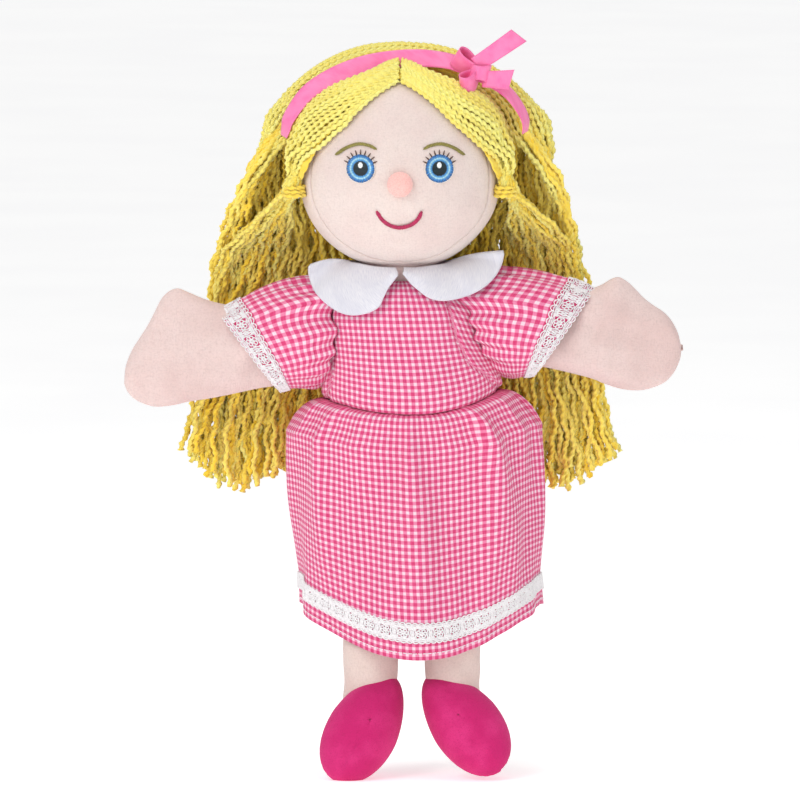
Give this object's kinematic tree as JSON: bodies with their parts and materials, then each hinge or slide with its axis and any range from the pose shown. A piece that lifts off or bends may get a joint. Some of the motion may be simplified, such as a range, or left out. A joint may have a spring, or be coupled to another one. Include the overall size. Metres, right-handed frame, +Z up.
{
  "type": "glove puppet",
  "caption": "Soft cloth glove puppet of a girl with yarn hair, a ribbon, a gingham dress, mitten hands that take fingers and stuffed hanging legs.",
  "frame": {"origin": "where the wrist passes through the rim of the glove lining, straight under the middle of the head", "axes": "+Z up from the glove's rim to the head, -Y the way the puppet faces, +X the puppet's own left"},
  "size_m": [0.2839, 0.1224, 0.386],
  "materials": {
    "face_jersey": "brushed cotton jersey",
    "hand_jersey": "brushed cotton jersey, slightly pinker",
    "gingham": "woven cotton in small pink and white checks",
    "white_cotton": "plain woven white cotton",
    "lace": "cotton lace braid",
    "satin": "satin ribbon with a soft shine",
    "yarn": "two-ply acrylic yarn",
    "velour": "fuchsia velour",
    "wadding": "polyester wadding",
    "lining": "plain thin cotton",
    "nose": "pink jersey over a small ball",
    "blue_thread": "rayon embroidery thread",
    "brow_thread": "rayon embroidery thread",
    "mouth_thread": "rayon embroidery thread"
  },
  "bodies": {
    "torso": {"bodice_front": "gingham", "bodice_back": "gingham", "body_lining": "lining", "collar_left": "white_cotton", "collar_right": "white_cotton", "skirt": "gingham", "skirt_lace": "lace"},
    "neck": {"neck_finger_tube": "lining"},
    "head": {"face_panel": "face_jersey", "head_side_gusset": "face_jersey", "head_back_panel": "face_jersey", "head_stuffing": "wadding", "nose_button": "nose", "eye_left": "blue_thread", "eye_right": "blue_thread", "eyebrow_left": "brow_thread", "eyebrow_right": "brow_thread", "mouth_stitch": "mouth_thread", "hair_front_left": "yarn", "hair_front_right": "yarn", "hair_crown": "yarn", "hair_lock_left": "yarn", "hair_lock_right": "yarn", "hair_tie_left": "yarn", "hair_tie_right": "yarn", "ribbon_band": "satin", "ribbon_knot": "satin", "ribbon_loop_upper": "satin", "ribbon_loop_lower": "satin", "ribbon_tail_upper": "satin", "ribbon_tail_lower": "satin"},
    "hair_fall": {"hair_bunch_left": "yarn", "hair_bunch_right": "yarn", "hair_back_curtain": "yarn"},
    "shoulder_left": {"arm_lining_left": "lining"},
    "arm_left": {"sleeve_left": "gingham", "sleeve_lace_left": "lace"},
    "mitten_left": {"hand_left": "hand_jersey"},
    "shoulder_right": {"arm_lining_right": "lining"},
    "arm_right": {"sleeve_right": "gingham", "sleeve_lace_right": "lace"},
    "mitten_right": {"hand_right": "hand_jersey"},
    "leg_swing_left": {"leg_left": "hand_jersey", "leg_stuffing_left": "wadding", "shoe_upper_left": "velour", "shoe_sole_left": "velour"},
    "leg_swing_right": {"leg_right": "hand_jersey", "leg_stuffing_right": "wadding", "shoe_upper_right": "velour", "shoe_sole_right": "velour"}
  },
  "joints": [
    {"name": "head_nod", "type": "hinge", "parent": "torso", "child": "neck", "pos_m": [0, 0, 0.17], "axis": [1, 0, 0], "range_deg": [-10, 25], "deforming": ["hair_bunch_left", "hair_bunch_right", "hair_back_curtain", "hair_lock_left", "hair_lock_right", "hair_tie_left", "hair_tie_right", "collar_left", "collar_right"]},
    {"name": "head_turn", "type": "hinge", "parent": "neck", "child": "head", "pos_m": [0, 0, 0.17], "axis": [0, 0, 1], "range_deg": [-35, 35], "deforming": ["hair_bunch_left", "hair_bunch_right", "hair_back_curtain", "hair_lock_left", "hair_lock_right", "hair_tie_left", "hair_tie_right"]},
    {"name": "hair_trail", "type": "hinge", "parent": "head", "child": "hair_fall", "pos_m": [0, 0, 0.17], "axis": [0, 0, 1], "range_deg": [-35, 35], "deforming": ["hair_bunch_left", "hair_bunch_right", "hair_back_curtain"]},
    {"name": "arm_swing_left", "type": "hinge", "parent": "torso", "child": "shoulder_left", "pos_m": [0.04496, 0, 0.153], "axis": [0, 0, -1], "range_deg": [-8, 40], "deforming": ["sleeve_left", "sleeve_lace_left"]},
    {"name": "arm_raise_left", "type": "hinge", "parent": "shoulder_left", "child": "arm_left", "pos_m": [0.04496, 0, 0.153], "axis": [0, -1, 0], "range_deg": [-20, 28], "deforming": ["sleeve_left", "sleeve_lace_left"]},
    {"name": "hand_bend_left", "type": "hinge", "parent": "arm_left", "child": "mitten_left", "pos_m": [0.08259, 0, 0.14771], "axis": [-0.1392, 0, -0.9903], "range_deg": [0, 60], "deforming": ["sleeve_left", "sleeve_lace_left"]},
    {"name": "arm_swing_right", "type": "hinge", "parent": "torso", "child": "shoulder_right", "pos_m": [-0.0412, 0, 0.147], "axis": [0, 0, 1], "range_deg": [-8, 40], "deforming": ["sleeve_right", "sleeve_lace_right"]},
    {"name": "arm_raise_right", "type": "hinge", "parent": "shoulder_right", "child": "arm_right", "pos_m": [-0.0412, 0, 0.147], "axis": [0, 1, 0], "range_deg": [-20, 28], "deforming": ["sleeve_right", "sleeve_lace_right"]},
    {"name": "hand_bend_right", "type": "hinge", "parent": "arm_right", "child": "mitten_right", "pos_m": [-0.07807, 0, 0.13781], "axis": [-0.2419, 0, 0.9703], "range_deg": [0, 60], "deforming": ["sleeve_right", "sleeve_lace_right"]},
    {"name": "leg_swing_left", "type": "hinge", "parent": "torso", "child": "leg_swing_left", "pos_m": [0.02731, -0.023, -0.002], "axis": [1, 0, 0], "range_deg": [-21, 30]},
    {"name": "leg_swing_right", "type": "hinge", "parent": "torso", "child": "leg_swing_right", "pos_m": [-0.01529, -0.023, -0.002], "axis": [1, 0, 0], "range_deg": [-21, 30]}
  ],
  "couplings": [
    {"joint": "hair_trail", "follows": "head_turn", "ratio": -1}
  ]
}
